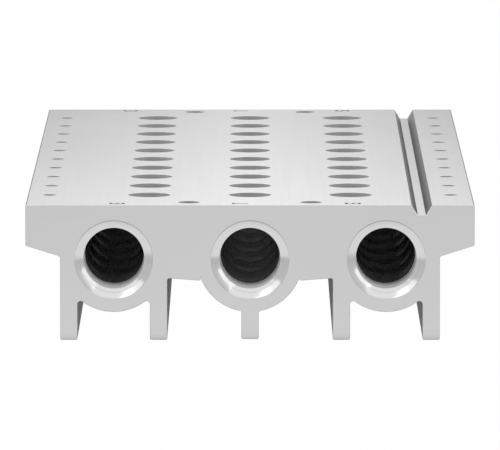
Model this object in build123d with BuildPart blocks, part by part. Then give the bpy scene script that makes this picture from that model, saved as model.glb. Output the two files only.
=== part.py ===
from build123d import *
from math import radians, sqrt, tan
import os

# Ten-station air manifold block: one aluminium bar, extruded to section, cut to
# length and drilled. X runs across the bar, Y along it, and Z up from the feet.
# The middle gallery carries the supply, and the two side galleries the exhausts.

# Stations, one valve on each
station_count = 10
station_pitch = 22.0
end_margin = 24.0

# Section: flat slab with thinner side flanges, measured down from its top face
width = 110.0
height = 33.2
flange_tip_thickness = 10.0
flange_root_thickness = 12.65
web_thickness_at_leg = 18.0
web_thickness_at_centre = 19.5

# G3/8 port at each end of each gallery, cut at the thread's minor diameter
thread_minor_diameter = 14.95
thread_height = 0.855
thread_end_depth = 12.6
counterbore_depth = 2.8
counterbore_floor_angle = 120.0
mouth_chamfer_width = 1.32
mouth_chamfer_depth = 1.04

# Galleries, a little smaller than the thread's core, and the round bosses about them
gallery_spacing = 33.4
gallery_depth = 13.4
gallery_step = 0.225
boss_rim = 3.25

# Legs: two stand beside each side boss, and one hangs under the middle boss
leg_thickness = 4.25
leg_margin = 0.225
middle_leg_lift = 0.2

# Rounds of the extruded section
foot_round = 0.4
valley_round = 0.8
root_round = 0.5
flange_round = 0.3

# V groove with a flat floor, along the right of the top face
groove_inset = 12.95
groove_width = 5.05
groove_floor_width = 2.05
groove_depth = 2.45

# Three flat-floored air ports under each valve, the side ones inboard of their galleries
valve_port_diameter = 10.4
valve_port_inset = 8.5
valve_port_floor = 1.2

# Two M4 holes for each valve's screws, at the tapping diameter
screw_hole_inset = 5.4
screw_hole_diameter = 3.3
screw_hole_depth = 8.0

# Four M5 clearance holes that fasten the bar down
mounting_hole_spacing = 30.0
mounting_hole_inset = 6.9
mounting_hole_diameter = 5.3

same_place = 0.01

# Sizes and places worked out from those above
length = station_pitch * (station_count - 1) + 2 * end_margin
gallery_height = height - gallery_depth
gallery_diameter = thread_minor_diameter - 2 * gallery_step
thread_radius = thread_minor_diameter / 2
counterbore_radius = thread_radius + thread_height
thread_start_depth = counterbore_depth + thread_height / tan(radians(counterbore_floor_angle / 2))
mouth_radius = counterbore_radius + mouth_chamfer_width
boss_radius = mouth_radius + boss_rim
boss_bottom = gallery_height - boss_radius
leg_offset = boss_radius + leg_margin - leg_thickness / 2
outer_leg_face = gallery_spacing + leg_offset + leg_thickness / 2
inner_leg_face = gallery_spacing - leg_offset - leg_thickness / 2
valley_height = gallery_height - sqrt(boss_radius**2 - (leg_offset - leg_thickness / 2) ** 2)
flange_root_height = height - flange_root_thickness
leg_top = height - flange_tip_thickness
groove_offset = width / 2 - groove_inset
valve_port_spacing = gallery_spacing - valve_port_inset
valve_port_depth = gallery_depth - valve_port_floor
screw_hole_spacing = width - 2 * screw_hole_inset
mounting_hole_length_spacing = length - 2 * mounting_hole_inset
gallery_places = [(side * gallery_spacing, gallery_height) for side in (-1, 0, 1)]
leg_places = [(side * (gallery_spacing + way * leg_offset), 0) for side in (-1, 1) for way in (-1, 1)]
leg_places.append((0, middle_leg_lift))


with BuildPart() as manifold_block:
    # Extruded section
    with BuildSketch(Plane.XZ) as section:
        with BuildLine():
            Polyline(
                (0, height),
                (width / 2, height),
                (width / 2, height - flange_tip_thickness),
                (outer_leg_face, flange_root_height),
                (inner_leg_face, height - web_thickness_at_leg),
                (0, height - web_thickness_at_centre),
                close=True,
            )
        make_face()
        mirror(about=Plane.YZ)
        with Locations(*gallery_places):
            Circle(boss_radius)
        for leg_x, lift in leg_places:
            with Locations((leg_x, lift)):
                Rectangle(leg_thickness, leg_top - lift, align=(Align.CENTER, Align.MIN))

        feet = section.vertices().filter_by_position(Axis.Y, 0, middle_leg_lift)
        fillet(feet, radius=foot_round)
        corners = section.vertices().filter_by_position(Axis.Y, boss_bottom, flange_root_height + same_place)
        roots = corners.filter_by(lambda corner: abs(corner.Y - valley_height) > same_place)
        fillet(roots, radius=root_round)
        valleys = section.vertices().filter_by(lambda corner: abs(corner.Y - valley_height) < same_place)
        fillet(valleys, radius=valley_round)
        flange_corners = section.vertices().filter_by(lambda corner: abs(corner.X) > width / 2 - same_place)
        fillet(flange_corners, radius=flange_round)

        with BuildLine():
            Polyline(
                (groove_offset - groove_width / 2, height),
                (groove_offset - groove_floor_width / 2, height - groove_depth),
                (groove_offset + groove_floor_width / 2, height - groove_depth),
                (groove_offset + groove_width / 2, height),
                close=True,
            )
        make_face(mode=Mode.SUBTRACT)
    extrude(amount=length / 2, both=True)

    # Galleries, drilled from end to end
    with BuildSketch(Plane.XZ) as galleries:
        with Locations(*gallery_places):
            Circle(gallery_diameter / 2)
    extrude(amount=length / 2, both=True, mode=Mode.SUBTRACT)

    # Ports: chamfered mouth, counterbore with a conical floor, and thread core
    for gallery_x, _ in gallery_places:
        for end in (-1, 1):
            mouth_centre = (gallery_x, end * length / 2, gallery_height)
            with BuildSketch(Plane(origin=mouth_centre, x_dir=(0, -end, 0), z_dir=(1, 0, 0))):
                with BuildLine():
                    Polyline(
                        (0, 0),
                        (0, mouth_radius),
                        (mouth_chamfer_depth, counterbore_radius),
                        (counterbore_depth, counterbore_radius),
                        (thread_start_depth, thread_radius),
                        (thread_end_depth, thread_radius),
                        (thread_end_depth, 0),
                        close=True,
                    )
                make_face()
            revolve(axis=Axis(mouth_centre, (0, 1, 0)), mode=Mode.SUBTRACT)

    # Valve ports, which break into the galleries
    with Locations((0, 0, height)):
        with GridLocations(valve_port_spacing, station_pitch, 3, station_count):
            Hole(radius=valve_port_diameter / 2, depth=valve_port_depth)

    # Valve screw holes
    with Locations((0, 0, height)):
        with GridLocations(screw_hole_spacing, station_pitch, 2, station_count):
            Hole(radius=screw_hole_diameter / 2, depth=screw_hole_depth)

    # Mounting holes, through the web beside the middle boss
    with Locations((0, 0, height)):
        with GridLocations(mounting_hole_spacing, mounting_hole_length_spacing, 2, 2):
            Hole(radius=mounting_hole_diameter / 2)

manifold_block.part.label = "manifold_block"

os.makedirs("parts", exist_ok=True)
export_step(manifold_block.part, "parts/manifold_block.step")
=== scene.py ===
"""Visual model of a ten-station air manifold block, cut from one aluminium extrusion.

The bar is built in full detail from its own sizes: the extruded section, the milled
top, the sawn ends, the threaded ports, the bored galleries and the tapped holes.
Sizes are in millimetres until a mesh is written, which is in metres. The floor, the
lamps and the patterns in the materials are in metres.
"""
import logging
from collections.abc import Iterable, Sequence
from dataclasses import dataclass
from enum import IntEnum
from math import atan2, ceil, cos, hypot, pi, radians, sin, sqrt, tan

import bmesh
import bpy
from mathutils import Matrix, Quaternion, Vector


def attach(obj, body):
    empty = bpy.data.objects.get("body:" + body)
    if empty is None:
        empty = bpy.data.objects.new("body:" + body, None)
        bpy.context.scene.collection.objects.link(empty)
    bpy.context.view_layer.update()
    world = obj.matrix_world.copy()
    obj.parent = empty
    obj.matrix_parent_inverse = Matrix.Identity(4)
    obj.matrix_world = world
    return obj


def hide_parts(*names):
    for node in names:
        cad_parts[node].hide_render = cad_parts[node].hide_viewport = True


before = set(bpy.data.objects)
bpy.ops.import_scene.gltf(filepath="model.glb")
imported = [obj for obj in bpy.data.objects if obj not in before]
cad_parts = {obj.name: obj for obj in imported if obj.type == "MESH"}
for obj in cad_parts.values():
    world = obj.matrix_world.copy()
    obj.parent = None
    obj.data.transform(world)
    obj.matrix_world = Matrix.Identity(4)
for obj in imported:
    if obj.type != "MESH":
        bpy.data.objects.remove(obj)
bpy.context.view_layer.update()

log = logging.getLogger("manifold_block")
logging.basicConfig(level=logging.INFO, format="%(name)s: %(message)s")

MM = 0.001
# Largest angle between the points of a small round, in degrees
ROUND_STEP = 15.0
# Points this near are one point, and places this near are one place, in millimetres
SAME_POINT = 1e-5
NEAR = 1e-3
Point = tuple[float, float]


class Surface(IntEnum):
    """Kinds of surface on the bar, in the order of its material slots."""

    SKIN = 0
    TOP = 1
    END = 2
    PORT = 3
    BORE = 4
    THREAD = 5
    DRILLED = 6
    ENGRAVED = 7
    # Painted shade: the groove's walls and the top's long edges, drawn almost black
    DULL = 8


# Plane geometry


def arc_points(centre: Point, start: Point, end: Point, step: float) -> list[Point]:
    """Points along a circle's arc of less than half a turn, both ends included.

    Args:
        centre: Centre of the circle.
        start: First point of the arc.
        end: Last point of the arc.
        step: Largest angle between neighbours, in degrees.

    Returns:
        The points in order.
    """
    radius = hypot(start[0] - centre[0], start[1] - centre[1])
    first = atan2(start[1] - centre[1], start[0] - centre[0])
    sweep = (atan2(end[1] - centre[1], end[0] - centre[0]) - first + pi) % (2 * pi) - pi
    count = max(2, ceil(abs(sweep) / radians(step)))
    angles = [first + sweep * i / count for i in range(count + 1)]
    return [(centre[0] + radius * cos(angle), centre[1] + radius * sin(angle)) for angle in angles]


def rounded_corner(before: Point, corner: Point, after: Point, radius: float) -> list[Point]:
    """Points of the round that takes a corner's place.

    Args:
        before: A point on the line into the corner.
        corner: The sharp corner.
        after: A point on the line out of the corner.
        radius: Radius of the round.

    Returns:
        The points in order.
    """
    here = Vector(corner)
    into = (Vector(before) - here).normalized()
    out = (Vector(after) - here).normalized()
    half = into.angle(out) / 2
    reach = radius * cos(half) / sin(half)
    centre = here + (into + out).normalized() * radius / sin(half)
    return arc_points(tuple(centre), tuple(here + into * reach), tuple(here + out * reach), ROUND_STEP)


def blend_to_circle(
    point: Point, way: Point, free_side: Point, centre: Point, circle: float, radius: float
) -> list[Point]:
    """Points of the hollow round between a line and the outside of a circle.

    Args:
        point: A point on the line.
        way: Direction along the line, towards the circle.
        free_side: Unit normal of the line, towards the open side.
        centre: Centre of the circle.
        circle: Radius of the circle.
        radius: Radius of the round.

    Returns:
        The points, from the line to the circle.
    """
    along = Vector(way).normalized()
    side = Vector(free_side)
    middle = Vector(centre)
    start = Vector(point) + side * radius
    to_start = start - middle
    half_b = to_start.dot(along)
    rest = to_start.length_squared - (circle + radius) ** 2
    hub = start + along * (-half_b - sqrt(half_b**2 - rest))
    touch = middle + (hub - middle) * circle / (circle + radius)
    return arc_points(tuple(hub), tuple(hub - side * radius), tuple(touch), ROUND_STEP)


# The bar's sizes


@dataclass(frozen=True)
class Section:
    """Sizes of the extruded section, in millimetres, and its outline."""

    width: float = 110.0
    height: float = 33.2
    flange_tip: float = 10.0
    flange_root: float = 12.65
    web_at_leg: float = 18.0
    web_at_centre: float = 19.5
    gallery_spacing: float = 33.4
    gallery_height: float = 19.8
    boss_radius: float = 12.9
    leg_thickness: float = 4.25
    outer_leg_face: float = 46.525
    inner_leg_face: float = 20.275
    middle_leg_lift: float = 0.2
    foot_round: float = 0.4
    valley_round: float = 0.8
    root_round: float = 0.5
    flange_round: float = 0.3
    groove_centre: float = 42.05
    groove_width: float = 5.05
    groove_floor: float = 2.05
    groove_depth: float = 2.45
    groove_break: float = 0.12
    boss_step: float = 3.0

    def groove(self) -> list[Point]:
        """The V groove's outline, from its left lip to its right one."""
        top, bottom = self.height, self.height - self.groove_depth
        lips = [self.groove_centre - self.groove_width / 2, self.groove_centre + self.groove_width / 2]
        floor = [self.groove_centre - self.groove_floor / 2, self.groove_centre + self.groove_floor / 2]
        return [
            *rounded_corner((0, top), (lips[0], top), (floor[0], bottom), self.groove_break),
            *rounded_corner((lips[0], top), (floor[0], bottom), (floor[1], bottom), self.groove_break),
            *rounded_corner((floor[0], bottom), (floor[1], bottom), (lips[1], top), self.groove_break),
            *rounded_corner((floor[1], bottom), (lips[1], top), (self.width / 2, top), self.groove_break),
        ]

    def flange_and_outer_leg(self) -> list[Point]:
        """Down the flange and the outer leg, to the top of its inner side."""
        edge, top = self.width / 2, self.height
        tip, root = top - self.flange_tip, top - self.flange_root
        outer, inner = self.outer_leg_face, self.outer_leg_face - self.leg_thickness
        return [
            *rounded_corner((0, top), (edge, top), (edge, tip), self.flange_round),
            *rounded_corner((edge, top), (edge, tip), (outer, root), self.flange_round),
            *rounded_corner((edge, tip), (outer, root), (outer, 0), self.root_round),
            *rounded_corner((outer, root), (outer, 0), (inner, 0), self.foot_round),
            *rounded_corner((outer, 0), (inner, 0), (inner, root), self.foot_round),
        ]

    def side_boss(self) -> list[Point]:
        """Under the side boss, from the outer leg to the inner one."""
        centre = (self.gallery_spacing, self.gallery_height)
        wall = self.outer_leg_face - self.leg_thickness
        outer = blend_to_circle((wall, 0), (0, 1), (-1, 0), centre, self.boss_radius, self.valley_round)
        inner = [(2 * centre[0] - x, z) for x, z in reversed(outer)]
        return [*outer, *arc_points(centre, outer[-1], inner[0], self.boss_step)[1:-1], *inner]

    def inner_leg_and_web(self) -> list[Point]:
        """Down the inner leg, up again and along the web to the middle boss, then to its leg."""
        near, far = self.inner_leg_face, self.inner_leg_face + self.leg_thickness
        corner = (near, self.height - self.web_at_leg)
        centre = (0.0, self.gallery_height)
        boss, root = self.boss_radius, self.root_round
        web = Vector((-near, self.web_at_leg - self.web_at_centre)).normalized()
        onto_boss = blend_to_circle(corner, tuple(web), (web.y, -web.x), centre, boss, root)
        side, foot = self.leg_thickness / 2, self.middle_leg_lift
        off_boss = blend_to_circle((side, 0), (0, 1), (1, 0), centre, boss, root)[::-1]
        return [
            *rounded_corner((far, corner[1]), (far, 0), (near, 0), self.foot_round),
            *rounded_corner((far, 0), (near, 0), corner, self.foot_round),
            *rounded_corner((near, 0), corner, (0, self.height - self.web_at_centre), self.root_round),
            *onto_boss,
            *arc_points(centre, onto_boss[-1], off_boss[0], self.boss_step)[1:-1],
            *off_boss,
            *rounded_corner((side, corner[1]), (side, foot), (0, foot), self.foot_round),
        ]

    def outline(self) -> list[Point]:
        """The closed outline, clockwise as seen from the front, from the top left.

        Returns:
            Points (x, z), without a repeated last one.
        """
        half = [*self.flange_and_outer_leg(), *self.side_boss(), *self.inner_leg_and_web()]
        mirrored = [(-x, z) for x, z in reversed(half)]
        loop = [*self.groove(), *half, *mirrored]
        pairs = zip(loop, loop[1:] + loop[:1])
        return [p for p, q in pairs if hypot(p[0] - q[0], p[1] - q[1]) > SAME_POINT]

    def side_kind(self, corners: Sequence[Vector]) -> Surface:
        """Kind of surface of one long side of the bar.

        Args:
            corners: The side's corners.

        Returns:
            TOP for the flat top and the groove's floor, the kind with painted shade for the
            groove's walls and the top's long edges, which are drawn almost black, and SKIN for the rest.
        """
        low, high = min(corner.z for corner in corners), max(corner.z for corner in corners)
        inner, outer = min(corner.x for corner in corners), max(abs(corner.x) for corner in corners)
        groove_floor = self.height - self.groove_depth
        in_groove = low > groove_floor - NEAR and inner > self.groove_centre - self.groove_width / 2 - NEAR
        if low > self.height - NEAR or (high < groove_floor + NEAR and in_groove):
            return Surface.TOP
        edge_bottom, edge_side = self.height - self.flange_round, self.width / 2 - self.flange_round
        long_edge = low > edge_bottom - NEAR and outer > edge_side + NEAR
        # The groove's walls and the top's long edges get painted shade
        if long_edge or (in_groove and outer < self.groove_centre + self.groove_width / 2 + NEAR):
            return Surface.DULL
        return Surface.SKIN


def inset(loop: Sequence[Point], depth: float) -> list[Point]:
    """Moves a clockwise outline inwards.

    Args:
        loop: The outline's points.
        depth: How far each side moves in.

    Returns:
        As many points, moved in along the corners' bisectors.
    """
    least_cosine = 0.3
    moved = []
    for before, here, after in zip([*loop[-1:], *loop[:-1]], loop, [*loop[1:], *loop[:1]]):
        into = (Vector(here) - Vector(before)).normalized()
        out = (Vector(after) - Vector(here)).normalized()
        normals = Vector((into.y, -into.x)), Vector((out.y, -out.x))
        bisector = (normals[0] + normals[1]).normalized()
        shift = bisector * depth / max(least_cosine, bisector.dot(normals[0]))
        moved.append((here[0] + shift.x, here[1] + shift.y))
    return moved


# Meshes


def new_object(name: str, mesh_data: bmesh.types.BMesh) -> bpy.types.Object:
    """Makes a scene object, facing outwards, from a bmesh in millimetres, which it frees.

    Args:
        name: Name of the object and its mesh.
        mesh_data: The bmesh.

    Returns:
        The linked object, in metres.
    """
    bmesh.ops.recalc_face_normals(mesh_data, faces=mesh_data.faces)
    if mesh_data.calc_volume(signed=True) < 0:
        bmesh.ops.reverse_faces(mesh_data, faces=mesh_data.faces)
    mesh_data.transform(Matrix.Scale(MM, 4))
    mesh = bpy.data.meshes.new(name)
    mesh_data.to_mesh(mesh)
    mesh_data.free()
    made = bpy.data.objects.new(name, mesh)
    bpy.context.scene.collection.objects.link(made)
    return made


@dataclass(frozen=True)
class Thread:
    """An internal thread between two depths, in millimetres.

    The form gives the share of the thread's depth at even steps along one pitch.
    """

    start: float
    end: float
    pitch: float
    minor: float
    major: float
    form: tuple[float, ...]
    fade_in: float
    fade_out: float

    def radius(self, depth: float, row: int) -> float:
        """Radius of the wall at a depth, on a row of the thread's form."""
        share = self.form[row % len(self.form)]
        share *= min(1.0, max(0.0, (depth - self.start) / self.fade_in))
        share *= min(1.0, max(0.0, (self.end - depth) / self.fade_out))
        return self.minor + (self.major - self.minor) * share


@dataclass
class Bore:
    """A round cutter for one hole: rings along its axis, with an optional thread.

    Rings are (depth, radius) pairs, from outside the metal to the hole's end. A thread
    takes the place of the plain wall after the ring that thread_after counts from 0.
    """

    name: str
    rings: list[Point]
    kinds: list[Surface]
    segments: int
    thread: Thread | None = None
    thread_after: int = 0

    def build(self, places: Iterable[Matrix]) -> bpy.types.Object:
        """Makes one object with a closed cutter at each place.

        Args:
            places: Where each cutter stands. Its local +Z goes into the metal.

        Returns:
            The cutter object.
        """
        shape = bmesh.new()
        for place in places:
            before = len(shape.verts)
            self._add(shape)
            shape.verts.ensure_lookup_table()
            bmesh.ops.transform(shape, matrix=place, verts=shape.verts[before:])
        return new_object(self.name, shape)

    def _ring(self, shape: bmesh.types.BMesh, depth: float, radius: float) -> list[bmesh.types.BMVert]:
        """Adds one plain ring of vertices."""
        angles = [2 * pi / self.segments * i for i in range(self.segments)]
        return [shape.verts.new((radius * cos(angle), radius * sin(angle), depth)) for angle in angles]

    def _add(self, shape: bmesh.types.BMesh) -> None:
        """Adds one cutter along local +Z."""
        loops = [self._ring(shape, depth, radius) for depth, radius in self.rings]
        for index, (upper, lower) in enumerate(zip(loops, loops[1:])):
            if self.thread and index == self.thread_after:
                self._add_thread(shape, upper, lower)
                continue
            for i in range(self.segments):
                j = (i + 1) % self.segments
                face = shape.faces.new((upper[i], upper[j], lower[j], lower[i]))
                face.material_index = self.kinds[index]
        shape.faces.new(reversed(loops[0])).material_index = self.kinds[0]
        shape.faces.new(loops[-1]).material_index = self.kinds[-1]

    def _add_thread(
        self, shape: bmesh.types.BMesh, upper: list[bmesh.types.BMVert], lower: list[bmesh.types.BMVert]
    ) -> None:
        """Adds the helical wall between two plain rings."""
        thread, count = self.thread, self.segments
        rows = len(thread.form)
        rise = thread.pitch / rows
        last_row = ceil((thread.end - thread.start) / rise) + 1
        turn = 2 * pi / count
        near = NEAR / 10
        columns: list[list[bmesh.types.BMVert]] = []
        for i in range(count):
            column = []
            for row in range(-rows, last_row + 1):
                depth = thread.start + (row + i * rows / count) * rise
                if depth <= thread.start + near:
                    column.append(upper[i])
                elif depth >= thread.end - near:
                    column.append(lower[i])
                else:
                    radius = thread.radius(depth, row)
                    column.append(shape.verts.new((radius * cos(turn * i), radius * sin(turn * i), depth)))
            columns.append(column)
        first = columns[0]
        columns.append(first[rows:] + [lower[0]] * rows)
        for left, right in zip(columns, columns[1:]):
            for a, b, c, d in zip(left, right, right[1:], left[1:]):
                corners = list(dict.fromkeys((a, b, c, d)))
                if len(corners) > 2:
                    shape.faces.new(corners).material_index = Surface.THREAD


def cut(target: bpy.types.Object, cutters: Sequence[bpy.types.Object]) -> None:
    """Takes cutters out of an object and removes them from the scene.

    Args:
        target: The object to cut. Its mesh is replaced by the result.
        cutters: Closed meshes, which may overlap.
    """
    tools = bpy.data.collections.new("tools")
    bpy.context.scene.collection.children.link(tools)
    for cutter in cutters:
        tools.objects.link(cutter)
    step = target.modifiers.new("cut", "BOOLEAN")
    step.operation = "DIFFERENCE"
    step.solver = "EXACT"
    step.operand_type = "COLLECTION"
    step.collection = tools
    step.material_mode = "INDEX"
    view = bpy.context.evaluated_depsgraph_get()
    result = bpy.data.meshes.new_from_object(target.evaluated_get(view))
    target.modifiers.clear()
    old, target.data = target.data, result
    bpy.data.meshes.remove(old)
    for cutter in cutters:
        mesh = cutter.data
        bpy.data.objects.remove(cutter)
        bpy.data.meshes.remove(mesh)
    bpy.data.collections.remove(tools)


# The holes


@dataclass(frozen=True)
class Gallery:
    """A gallery bored from end to end of the bar, in millimetres."""

    radius: float = 7.25
    reach: float = 1.0
    segments: int = 96

    def cutter(self, length: float) -> Bore:
        """The cutter, which stands out of both ends of a bar of this length."""
        rings = [(-self.reach, self.radius), (length + self.reach, self.radius)]
        return Bore("galleries", rings, [Surface.BORE], self.segments)


@dataclass(frozen=True)
class Port:
    """A threaded port with a chamfered mouth and a counterbore, in millimetres."""

    mouth_radius: float = 9.65
    mouth_break: float = 0.3
    chamfer_width: float = 1.32
    chamfer_depth: float = 1.04
    counterbore_depth: float = 2.8
    floor_angle: float = 120.0
    core: float = 7.475
    thread_major: float = 8.331
    thread_pitch: float = 1.337
    thread_end: float = 12.6
    thread_form: tuple[float, ...] = (0.0, 0.0, 0.5, 1.0, 1.0, 0.5)
    fade_in: float = 0.7
    fade_out: float = 1.3
    outside: float = 1.0
    segments: int = 96

    def cutter(self) -> Bore:
        """The cutter of one port."""
        root = self.mouth_radius - self.chamfer_width
        start = self.counterbore_depth + (root - self.core) / tan(radians(self.floor_angle / 2))
        rings = [
            (-self.outside, self.mouth_radius + self.outside),
            (self.mouth_break, self.mouth_radius - self.mouth_break),
            (self.chamfer_depth, root),
            (self.counterbore_depth, root),
            (start, self.core),
            (self.thread_end, self.core),
        ]
        thread = Thread(
            start=start,
            end=self.thread_end,
            pitch=self.thread_pitch,
            minor=self.core,
            major=self.thread_major,
            form=self.thread_form,
            fade_in=self.fade_in,
            fade_out=self.fade_out,
        )
        return Bore("ports", rings, [Surface.PORT] * 4 + [Surface.THREAD], self.segments, thread, 4)


@dataclass(frozen=True)
class PlainHole:
    """A drilled hole with a broken lip, in millimetres."""

    name: str
    radius: float
    depth: float
    segments: int
    lip: float = 0.04
    outside: float = 1.0

    def cutter(self) -> Bore:
        """The cutter of one hole."""
        rings = [
            (-self.outside, self.radius + self.lip + self.outside),
            (self.lip, self.radius),
            (self.depth, self.radius),
        ]
        return Bore(self.name, rings, [Surface.DRILLED, Surface.DRILLED], self.segments)


@dataclass(frozen=True)
class ScrewHole:
    """A tapped blind hole with a broken lip and a drill point, in millimetres."""

    radius: float = 1.65
    depth: float = 8.0
    lip: float = 0.04
    outside: float = 0.5
    thread_start: float = 0.3
    thread_stop: float = 0.4
    thread_major: float = 2.0
    thread_pitch: float = 0.7
    thread_form: tuple[float, ...] = (0.0, 0.5, 1.0, 0.5)
    fade: float = 0.7
    point_depth: float = 0.9
    point_radius: float = 0.15
    segments: int = 24

    def cutter(self) -> Bore:
        """The cutter of one hole."""
        thread_end = self.depth - self.thread_stop
        rings = [
            (-self.outside, self.radius + self.lip + self.outside),
            (self.lip, self.radius),
            (self.thread_start, self.radius),
            (thread_end, self.radius),
            (self.depth, self.radius),
            (self.depth + self.point_depth, self.point_radius),
        ]
        thread = Thread(
            start=self.thread_start,
            end=thread_end,
            pitch=self.thread_pitch,
            minor=self.radius,
            major=self.thread_major,
            form=self.thread_form,
            fade_in=self.fade,
            fade_out=self.fade,
        )
        kinds = [Surface.DRILLED, Surface.DRILLED, Surface.THREAD, Surface.DRILLED, Surface.DRILLED]
        return Bore("screw_holes", rings, kinds, self.segments, thread, 2)


@dataclass(frozen=True)
class PortDigits:
    """The plain port digits, engraved near both ends with their tops towards +X, in millimetres."""

    top: float
    places: tuple[tuple[str, float], ...] = (("3", -32.6), ("1", -2.4), ("5", 25.15))
    rows: tuple[float, float] = (-119.0, 119.3)
    height: float = 4.0
    depth: float = 0.3
    stretch: float = 1.15
    boldness: float = 0.018
    stroke: float = 0.6
    foot_width: float = 2.2

    def cutters(self) -> list[bpy.types.Object]:
        """The cutters of both rows."""
        made = []
        for y in self.rows:
            for text, x in self.places:
                made.append(self.digit(text, x, y))
                if text == "1":
                    made.append(self.foot(x - self.height / 2, y))
        return made

    def foot(self, x: float, y: float) -> bpy.types.Object:
        """The cutter of the short stroke under a digit 1.

        Args:
            x: X of the digit's lower end.
            y: Y of the digit's middle.

        Returns:
            A box that reaches above and below the top face.
        """
        shape = bmesh.new()
        size = (self.stroke, self.foot_width, 2 * self.depth)
        place = Matrix.Translation((x + self.stroke / 2, y, self.top))
        bmesh.ops.create_cube(shape, size=1.0, matrix=place @ Matrix.Diagonal((*size, 1)))
        for face in shape.faces:
            face.material_index = Surface.ENGRAVED
        return new_object("foot", shape)

    def digit(self, text: str, x: float, y: float) -> bpy.types.Object:
        """One digit's cutter.

        Args:
            text: The digit.
            x: X of its middle.
            y: Y of its middle.

        Returns:
            A closed prism that reaches above and below the top face.
        """
        shape = self.letter(text)
        low = Vector([min(vertex.co[i] for vertex in shape.verts) for i in range(3)])
        high = Vector([max(vertex.co[i] for vertex in shape.verts) for i in range(3)])
        middle, size = (low + high) / 2, high - low
        scale = self.height / size.y
        across = scale * self.stretch
        thickness = 2 * self.depth / size.z
        place = Matrix.Translation((x, y, self.top)) @ Matrix.Rotation(-pi / 2, 4, "Z")
        resize = Matrix.Diagonal((across, scale, thickness, 1))
        shape.transform(place @ resize @ Matrix.Translation(-middle))
        for face in shape.faces:
            face.material_index = Surface.ENGRAVED
        return new_object("digit_" + text, shape)

    def letter(self, text: str) -> bmesh.types.BMesh:
        """A closed prism of a digit in Blender's plain font, at the font's own size."""
        curve = bpy.data.curves.new("digit", "FONT")
        curve.body = text
        curve.extrude = 0.5
        curve.offset = self.boldness
        curve.resolution_u = 4
        holder = bpy.data.objects.new("digit", curve)
        bpy.context.scene.collection.objects.link(holder)
        view = bpy.context.evaluated_depsgraph_get()
        mesh = bpy.data.meshes.new_from_object(holder.evaluated_get(view))
        bpy.data.objects.remove(holder)
        bpy.data.curves.remove(curve)
        shape = bmesh.new()
        shape.from_mesh(mesh)
        bpy.data.meshes.remove(mesh)
        bmesh.ops.remove_doubles(shape, verts=shape.verts, dist=SAME_POINT)
        return shape


# The block


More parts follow.
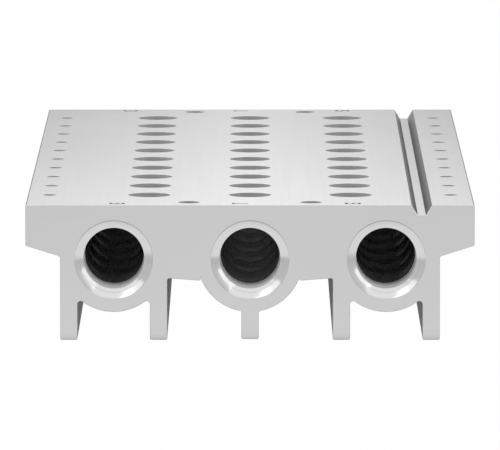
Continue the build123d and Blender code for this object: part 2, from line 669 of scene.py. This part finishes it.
@dataclass(frozen=True)
class ManifoldBlock:
    """The bar: its section, its length and every hole cut in it, in millimetres."""

    section: Section = Section()
    length: float = 246.0
    end_break: float = 0.1
    stations: int = 10
    pitch: float = 22.0
    gallery: Gallery = Gallery()
    port: Port = Port()
    valve_port: PlainHole = PlainHole("valve_ports", radius=5.2, depth=12.2, segments=64)
    valve_port_spacing: float = 24.9
    screw_hole: ScrewHole = ScrewHole()
    screw_spacing: float = 99.2
    mounting_hole: PlainHole = PlainHole("mounting_holes", radius=2.65, depth=25.0, segments=48)
    mount_spacing: float = 30.0
    mount_inset: float = 6.9

    def build(self) -> bpy.types.Object:
        """Builds the whole block.

        Returns:
            One closed mesh object.
        """
        bar = self.bar()
        cutters = [
            self.gallery.cutter(self.length).build(self.end_places(-1)),
            *(self.port.cutter().build(self.end_places(end)) for end in (-1, 1)),
            self.valve_port.cutter().build(self.valve_port_places()),
            self.screw_hole.cutter().build(self.screw_places()),
            self.mounting_hole.cutter().build(self.mounting_places()),
            *PortDigits(self.section.height).cutters(),
        ]
        cut(bar, cutters)
        self.shade(bar)
        return bar

    def bar(self) -> bpy.types.Object:
        """The extruded bar, sawn to length, with its edges broken at both ends."""
        outline = self.section.outline()
        small = inset(outline, self.end_break)
        half = self.length / 2
        broken = half - self.end_break
        shape = bmesh.new()
        stations = [(-half, small), (-broken, outline), (broken, outline), (half, small)]
        loops = [[shape.verts.new((x, y, z)) for x, z in points] for y, points in stations]
        for index, (front, rear) in enumerate(zip(loops, loops[1:])):
            for corners in zip(front, front[1:] + front[:1], rear[1:] + rear[:1], rear):
                side = self.section.side_kind([corner.co for corner in corners])
                shape.faces.new(corners).material_index = side if index == 1 else Surface.END
        shape.faces.new(loops[0]).material_index = Surface.END
        shape.faces.new(reversed(loops[-1])).material_index = Surface.END
        return new_object("block", shape)

    def station_rows(self) -> list[float]:
        """Y of the valve stations, front to rear."""
        return [(row - (self.stations - 1) / 2) * self.pitch for row in range(self.stations)]

    def end_places(self, end: int) -> list[Matrix]:
        """Places of the cutters that go into an end face at the three galleries (end -1 is the front)."""
        spacing, height = self.section.gallery_spacing, self.section.gallery_height
        turn = Matrix.Rotation(end * pi / 2, 4, "X")
        mouths = [(side * spacing, end * self.length / 2, height) for side in (-1, 0, 1)]
        return [Matrix.Translation(mouth) @ turn for mouth in mouths]

    def top_place(self, x: float, y: float) -> Matrix:
        """Place of a cutter that goes down into the top face."""
        return Matrix.Translation((x, y, self.section.height)) @ Matrix.Rotation(pi, 4, "X")

    def valve_port_places(self) -> list[Matrix]:
        """Places of the thirty air ports in the top face."""
        rows = self.station_rows()
        return [self.top_place(side * self.valve_port_spacing, y) for side in (-1, 0, 1) for y in rows]

    def screw_places(self) -> list[Matrix]:
        """Places of the twenty tapped holes for the valves' screws."""
        rows = self.station_rows()
        return [self.top_place(side * self.screw_spacing / 2, y) for side in (-1, 1) for y in rows]

    def mounting_places(self) -> list[Matrix]:
        """Places of the four holes through the web."""
        x, y = self.mount_spacing / 2, self.length / 2 - self.mount_inset
        return [self.top_place(side * x, end * y) for side in (-1, 1) for end in (-1, 1)]

    def shade(self, block: bpy.types.Object, limit: float = 28.0) -> None:
        """Smooths the rounded faces and keeps the edges crisp.

        Args:
            block: The cut bar.
            limit: Angle above which an edge stays sharp, in degrees.
        """
        sliver = 1e-7
        shape = bmesh.new()
        shape.from_mesh(block.data)
        bmesh.ops.remove_doubles(shape, verts=shape.verts, dist=2 * sliver)
        bmesh.ops.dissolve_degenerate(shape, edges=shape.edges, dist=sliver)
        for face in shape.faces:
            face.smooth = True
        for edge in shape.edges:
            edge.smooth = edge.calc_face_angle(0.0) < radians(limit)
        shape.to_mesh(block.data)
        shape.free()
        weigh = block.modifiers.new("weighted_normals", "WEIGHTED_NORMAL")
        weigh.weight = 100
        weigh.keep_sharp = True


# Finishes


class Sheet:
    """Adds and wires nodes in one node tree."""

    def __init__(self, tree: bpy.types.NodeTree) -> None:
        """Starts on an empty tree."""
        self.tree = tree
        tree.nodes.clear()

    def add(
        self, kind: str, inputs: dict[str | int, object] | None = None, **settings: object
    ) -> bpy.types.Node:
        """Adds one node.

        Args:
            kind: The node's type name.
            inputs: Values, or output sockets to link, by input name or index.
            settings: Values of the node's own properties.

        Returns:
            The new node.
        """
        node = self.tree.nodes.new(kind)
        for name, value in settings.items():
            setattr(node, name, value)
        for name, value in (inputs or {}).items():
            if isinstance(value, bpy.types.NodeSocket):
                self.tree.links.new(value, node.inputs[name])
            else:
                node.inputs[name].default_value = value
        return node

    def math(self, operation: str, *values: object) -> bpy.types.NodeSocket:
        """Adds a Math node and returns its output."""
        return self.add("ShaderNodeMath", dict(enumerate(values)), operation=operation).outputs[0]

    def ramp(
        self, value: bpy.types.NodeSocket, span: tuple[float, float], ends: tuple[float, float] = (0.0, 1.0)
    ) -> bpy.types.NodeSocket:
        """Adds a clamped ramp.

        Args:
            value: The output to map.
            span: The value where the ramp starts, and where it ends.
            ends: What the ramp gives at its start and at its end.

        Returns:
            The ramp's output.
        """
        names = ("From Min", "From Max", "To Min", "To Max")
        given = dict(zip(names, (*span, *ends)))
        return self.add("ShaderNodeMapRange", {"Value": value, **given}, clamp=True).outputs[0]

    def axes(self, coordinate: str = "Object") -> bpy.types.bpy_prop_collection:
        """Adds a texture coordinate and returns its X, Y and Z outputs."""
        place = self.add("ShaderNodeTexCoord").outputs[coordinate]
        return self.add("ShaderNodeSeparateXYZ", {0: place}).outputs

    def group(self, name: str, inputs: dict[str, object] | None = None) -> bpy.types.Node:
        """Adds one of the shared groups by its name."""
        return self.add("ShaderNodeGroup", inputs, node_tree=bpy.data.node_groups[name])


def new_group(name: str, inputs: dict[str, str], outputs: dict[str, str]) -> tuple[Sheet, bpy.types.Node]:
    """Makes a shader node group with named sockets.

    Args:
        name: The group's name.
        inputs: Socket types by input name.
        outputs: Socket types by output name.

    Returns:
        The group's sheet and its input node.
    """
    tree = bpy.data.node_groups.new(name, "ShaderNodeTree")
    for socket, kind in inputs.items():
        tree.interface.new_socket(name=socket, in_out="INPUT", socket_type=kind)
    for socket, kind in outputs.items():
        tree.interface.new_socket(name=socket, in_out="OUTPUT", socket_type=kind)
    sheet = Sheet(tree)
    return sheet, sheet.add("NodeGroupInput")


NOISE_SPAN = (0.3, 0.7)


def grain_group() -> bpy.types.NodeTree:
    """Straight marks of a die, a cutter or a saw: noise drawn out along one direction.

    Returns:
        A group with a Stretch input (cells to the metre) and Shade and Height outputs.
    """
    outputs = {"Shade": "NodeSocketFloat", "Height": "NodeSocketFloat"}
    sheet, given = new_group("straight_marks", {"Stretch": "NodeSocketVector"}, outputs)
    place = sheet.add("ShaderNodeTexCoord").outputs["Object"]
    factors = {0: place, 1: given.outputs["Stretch"]}
    drawn = sheet.add("ShaderNodeVectorMath", factors, operation="MULTIPLY").outputs[0]
    coarse = {"Vector": drawn, "Scale": 1.0, "Detail": 2.0, "Roughness": 0.6}
    broad = sheet.add("ShaderNodeTexNoise", coarse).outputs["Fac"]
    thin = {"Vector": drawn, "Scale": 4.0, "Detail": 1.0, "Roughness": 0.5}
    fine = sheet.add("ShaderNodeTexNoise", thin).outputs["Fac"]
    fine_share = 0.4
    height = sheet.math("MULTIPLY_ADD", fine, fine_share, broad)
    sheet.add("NodeGroupOutput", {"Shade": sheet.ramp(broad, NOISE_SPAN), "Height": height})
    return sheet.tree


def rings_group() -> bpy.types.NodeTree:
    """Fine rings that a turning or boring tool leaves, by the place along its feed.

    Returns:
        A group with Feed (metres) and Rings (to the metre) inputs, and Shade and Height outputs.
    """
    inputs = {"Feed": "NodeSocketFloat", "Rings": "NodeSocketFloat"}
    outputs = {"Shade": "NodeSocketFloat", "Height": "NodeSocketFloat"}
    sheet, given = new_group("tool_rings", inputs, outputs)
    turns = sheet.math("MULTIPLY", given.outputs["Feed"], given.outputs["Rings"])
    settings = {"W": turns, "Scale": 1.0, "Detail": 2.0}
    noise = sheet.add("ShaderNodeTexNoise", settings, noise_dimensions="1D").outputs["Fac"]
    sheet.add("NodeGroupOutput", {"Shade": sheet.ramp(noise, NOISE_SPAN), "Height": noise})
    return sheet.tree


def mottle_group() -> bpy.types.NodeTree:
    """Slow unevenness of the metal's polish.

    Returns:
        A group with a Scale input (cells to the metre) and a Shade output.
    """
    sheet, given = new_group("slow_mottle", {"Scale": "NodeSocketFloat"}, {"Shade": "NodeSocketFloat"})
    place = sheet.add("ShaderNodeTexCoord").outputs["Object"]
    settings = {"Vector": place, "Scale": given.outputs["Scale"], "Detail": 3.0, "Roughness": 0.55}
    noise = sheet.add("ShaderNodeTexNoise", settings).outputs["Fac"]
    sheet.add("NodeGroupOutput", {"Shade": sheet.ramp(noise, NOISE_SPAN)})
    return sheet.tree


def painted_light_falloff_group() -> bpy.types.NodeTree:
    """Painted light: brightness that falls off slowly from the middle of the front edge to the rear and the
    sides.

    Returns:
        A group with a Share output.
    """
    fall_along, level = -0.926, 0.886
    twist, fall_across = -9.4, -4.66
    sheet, _ = new_group("painted_light_falloff", {}, {"Share": "NodeSocketFloat"})
    axes = sheet.axes()
    along = sheet.math("MULTIPLY_ADD", axes["Y"], fall_along, level)
    sideways = sheet.math("MULTIPLY_ADD", axes["Y"], twist, fall_across)
    across = sheet.math("MULTIPLY_ADD", sheet.math("ABSOLUTE", axes["X"]), sideways, 1.0)
    sheet.add("NodeGroupOutput", {"Share": sheet.math("MULTIPLY", along, across)})
    return sheet.tree


class Feed(IntEnum):
    """What a tool's marks follow on a surface."""

    STRAIGHT = 0
    PORT = 1
    PLUNGE = 2


@dataclass(frozen=True)
class Finish:
    """One machined or extruded finish of the aluminium. Its grey may hold painted shade or painted light.

    Straight marks run along the axis with the smallest stretch, in cells to the metre.
    The others ring the bore, so many to the metre. The bump's height is in millimetres.
    """

    name: str
    grey: float
    grey_swing: float
    roughness: float
    rough_swing: float
    bump: float
    feed: Feed = Feed.STRAIGHT
    stretch: tuple[float, float, float] = (0.0, 0.0, 0.0)
    rings: float = 0.0
    metallic: float = 1.0
    specular: float = 0.5
    # Painted light: the grey falls off from the front middle to the rear and the sides
    painted_falloff: bool = False
    mottle_scale: float = 45.0
    marks_share: float = 0.6

    def marks(self, sheet: Sheet) -> bpy.types.Node:
        """Adds the finish's tool marks.

        Args:
            sheet: The material's sheet.

        Returns:
            The group node, with Shade and Height outputs.
        """
        if self.feed == Feed.STRAIGHT:
            return sheet.group("straight_marks", {"Stretch": self.stretch})
        axes = sheet.axes()
        travel = axes["Z"]
        if self.feed == Feed.PORT:
            half_gap = Section.gallery_spacing * MM / 2
            across = sheet.math("WRAP", axes["X"], half_gap, -half_gap)
            up = sheet.math("SUBTRACT", axes["Z"], Section.gallery_height * MM)
            squares = sheet.math("POWER", across, 2.0), sheet.math("POWER", up, 2.0)
            radius = sheet.math("SQRT", sheet.math("ADD", *squares))
            travel = sheet.math("ADD", radius, sheet.math("ABSOLUTE", axes["Y"]))
        return sheet.group("tool_rings", {"Feed": travel, "Rings": self.rings})

    def material(self) -> bpy.types.Material:
        """Builds the finish's material."""
        made = bpy.data.materials.new(self.name)
        made.use_nodes = True
        sheet = Sheet(made.node_tree)
        marks = self.marks(sheet)
        shade = marks.outputs["Shade"]
        mottle = sheet.group("slow_mottle", {"Scale": self.mottle_scale})
        dark, light = (self.grey * (1 + sign * self.grey_swing) for sign in (-1, 1))
        grey = sheet.ramp(shade, (0.0, 1.0), (dark, light))
        # Painted light multiplied into the grey, falling off from the front middle to the rear and the
        # sides
        if self.painted_falloff:
            grey = sheet.math("MULTIPLY", grey, sheet.group("painted_light_falloff").outputs["Share"])
        wear = sheet.math("MULTIPLY_ADD", shade, self.marks_share, mottle.outputs["Shade"])
        smooth, rough = self.roughness - self.rough_swing, self.roughness + self.rough_swing
        polish = sheet.ramp(wear, (0.0, 1.0 + self.marks_share), (smooth, rough))
        bumps = {"Height": marks.outputs["Height"], "Distance": self.bump * MM}
        relief = sheet.add("ShaderNodeBump", bumps)
        metal = sheet.add(
            "ShaderNodeBsdfPrincipled",
            {
                "Base Color": grey,
                "Metallic": self.metallic,
                "Specular IOR Level": self.specular,
                "Roughness": polish,
                "Normal": relief.outputs[0],
            },
        )
        sheet.add("ShaderNodeOutputMaterial", {"Surface": metal.outputs[0]})
        return made


ALONG_BAR = (900.0, 10.0, 900.0)
# The numbers after a name are the grey and its swing, the roughness and its swing, and the bump
FINISHES: dict[Surface, Finish] = {
    Surface.SKIN: Finish(
        "extruded_aluminium", 0.62, 0.02, 0.40, 0.05, 0.010, stretch=(1500.0, 12.0, 1500.0)
    ),
    # The milled top's grey has painted light, falling off from the front middle to the rear and the sides
    Surface.TOP: Finish("milled_aluminium", 0.80, 0.025, 0.40, 0.04, 0.006, stretch=ALONG_BAR, painted_falloff=True),
    Surface.END: Finish("sawn_aluminium", 0.68, 0.012, 0.36, 0.04, 0.006, stretch=(20.0, 900.0, 900.0)),
    Surface.PORT: Finish("turned_aluminium", 0.68, 0.02, 0.15, 0.03, 0.002, Feed.PORT, rings=4000.0),
    # Painted shade: the galleries' walls are dark, matt and not metal, standing in for the shade deep in
    # the bores
    Surface.BORE: Finish(
        "bored_aluminium_painted_shade", 0.19, 0.04, 0.6, 0.04, 0.006, Feed.PORT, rings=4000.0, metallic=0.0, specular=0.0
    ),
    Surface.THREAD: Finish("tapped_aluminium", 0.70, 0.04, 0.50, 0.05, 0.004, Feed.PORT, rings=5000.0),
    Surface.DRILLED: Finish(
        "drilled_aluminium", 0.50, 0.05, 0.50, 0.05, 0.008, Feed.PLUNGE, rings=4000.0, metallic=0.3
    ),
    Surface.ENGRAVED: Finish(
        "engraved_aluminium", 0.12, 0.03, 0.6, 0.05, 0.004, Feed.PLUNGE, rings=6000.0, metallic=0.3
    ),
    # Painted shade: almost black, for the groove's walls and the top's long edges
    Surface.DULL: Finish("aluminium_painted_shade", 0.09, 0.04, 0.40, 0.04, 0.006, stretch=ALONG_BAR),
}


def dress(block: bpy.types.Object) -> None:
    """Gives the block one material slot for each kind of surface."""
    grain_group()
    rings_group()
    mottle_group()
    painted_light_falloff_group()
    indices = [face.material_index for face in block.data.polygons]
    block.data.materials.clear()
    for kind in Surface:
        block.data.materials.append(FINISHES[kind].material())
    block.data.polygons.foreach_set("material_index", indices)


# Stage, lights and camera


@dataclass(frozen=True)
class Camera:
    """The photograph's long-lens view, level across and a little from above, in millimetres."""

    focal_length: float = 605.5
    sensor: float = 36.0
    position: tuple[float, float, float] = (0.0, -2168.75, 252.15)
    pitch: float = 6.244

    def build(self) -> None:
        """Adds the camera and makes it the scene's."""
        data = bpy.data.cameras.new("camera")
        data.lens = self.focal_length
        data.sensor_width = self.sensor
        data.clip_end = 50.0
        made = bpy.data.objects.new("camera", data)
        made.location = Vector(self.position) * MM
        made.rotation_euler = (radians(90 - self.pitch), 0, 0)
        bpy.context.scene.collection.objects.link(made)
        bpy.context.scene.camera = made


@dataclass(frozen=True)
class SoftBox:
    """One rectangular studio lamp, in metres.

    Its brightness is that of its face, and adds to the sky's behind it.
    """

    name: str
    position: tuple[float, float, float]
    size: tuple[float, float]
    brightness: float
    roll: float = 0.0

    def build(self) -> None:
        """Adds the lamp, aimed at the block."""
        data = bpy.data.lights.new(self.name, "AREA")
        data.shape = "RECTANGLE"
        data.size, data.size_y = self.size
        data.energy = self.brightness * pi * self.size[0] * self.size[1]
        made = bpy.data.objects.new(self.name, data)
        made.location = self.position
        aim = (-Vector(self.position)).to_track_quat("-Z", "Y")
        made.rotation_euler = (aim @ Quaternion((0, 0, 1), radians(self.roll))).to_euler()
        bpy.context.scene.collection.objects.link(made)


@dataclass(frozen=True)
class Studio:
    """A plain white floor and sky with soft lamps, in metres."""

    floor_size: float = 12.0
    floor_grey: float = 0.45
    floor_seen: float = 0.99
    pool_mirrored: float = 0.75
    pool_sides: tuple[float, float] = (0.09, 0.13)
    pool_start: tuple[float, float] = (-0.123, -0.127)
    floor_gleam: float = 0.22
    sky_span: tuple[float, float] = (0.2, 0.9)
    sky_strengths: tuple[float, float] = (0.7, 1.0)
    lamps: tuple[SoftBox, ...] = (
        SoftBox("key_lamp", (-1.23, -0.82, 1.89), (0.95, 2.0), 0.6),
        SoftBox("top_lamp", (0.0, -1.13, 2.12), (3.4, 1.5), 0.38),
        SoftBox("side_lamp", (1.60, -1.25, 1.08), (0.6, 1.5), 0.65, 20.0),
        SoftBox("left_rim_lamp", (-1.5, 0.25, 1.5), (0.5, 0.6), 11.0),
        SoftBox("right_rim_lamp", (1.5, 0.25, 1.5), (0.5, 0.6), 11.0),
        SoftBox("overhead_lamp", (0.0, 0.4, 1.6), (0.3, 0.3), 6.0),
    )

    def build(self) -> None:
        """Adds the floor, the sky and the lamps."""
        self.floor()
        self.sky()
        for lamp in self.lamps:
            lamp.build()

    def floor(self) -> None:
        """The floor, a matt grey that keeps the shadow and is white to the camera.

        In the metal it gleams a little, and more in the pool just ahead of the block.
        """
        shape = bmesh.new()
        half = self.floor_size / 2 / MM
        corners = ((-half, -half, 0), (half, -half, 0), (half, half, 0), (-half, half, 0))
        shape.faces.new([shape.verts.new(corner) for corner in corners])
        made = new_object("floor", shape)
        paint = bpy.data.materials.new("studio_floor")
        paint.use_nodes = True
        sheet = Sheet(paint.node_tree)
        matt = sheet.add("ShaderNodeBsdfDiffuse", {"Color": (*[self.floor_grey] * 3, 1.0)})
        glow = sheet.add("ShaderNodeEmission", {"Strength": 1.0})
        path = sheet.add("ShaderNodeLightPath").outputs
        mirrored = sheet.math("MAXIMUM", path["Is Glossy Ray"], path["Is Transmission Ray"])
        axes = sheet.axes()
        beside = sheet.ramp(sheet.math("ABSOLUTE", axes["X"]), self.pool_sides, (1.0, 0.0))
        ahead = sheet.ramp(axes["Y"], self.pool_start)
        pool = sheet.math("MULTIPLY", beside, ahead)
        gleam = sheet.math("MULTIPLY_ADD", pool, self.pool_mirrored, self.floor_gleam)
        seen = sheet.math("MULTIPLY", path["Is Camera Ray"], self.floor_seen)
        share = sheet.math("MULTIPLY_ADD", mirrored, gleam, seen)
        mix = sheet.add("ShaderNodeMixShader", {0: share, 1: matt.outputs[0], 2: glow.outputs[0]})
        sheet.add("ShaderNodeOutputMaterial", {"Surface": mix.outputs[0]})
        made.data.materials.append(paint)

    def sky(self) -> None:
        """The plain white sky, which dims a little from the rear to the sides and the front."""
        world = bpy.data.worlds.new("studio_sky")
        world.use_nodes = True
        bpy.context.scene.world = world
        sheet = Sheet(world.node_tree)
        strength = sheet.ramp(sheet.axes("Generated")["Y"], self.sky_span, self.sky_strengths)
        light = sheet.add("ShaderNodeBackground", {"Color": (1, 1, 1, 1), "Strength": strength})
        sheet.add("ShaderNodeOutputWorld", {"Surface": light.outputs[0]})


def main() -> None:
    """Builds the block, its finishes and the studio."""
    scene = bpy.context.scene
    scene.view_settings.view_transform = "Standard"
    studio = Studio()
    Camera().build()
    studio.build()
    log.info("stage: camera, floor, sky and %d lamps", len(studio.lamps))
    block = ManifoldBlock().build()
    dress(block)
    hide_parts("manifold_block")
    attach(block, "root")
    log.info("%s: %d faces", block.name, len(block.data.polygons))


if __name__ == "__main__":
    main()
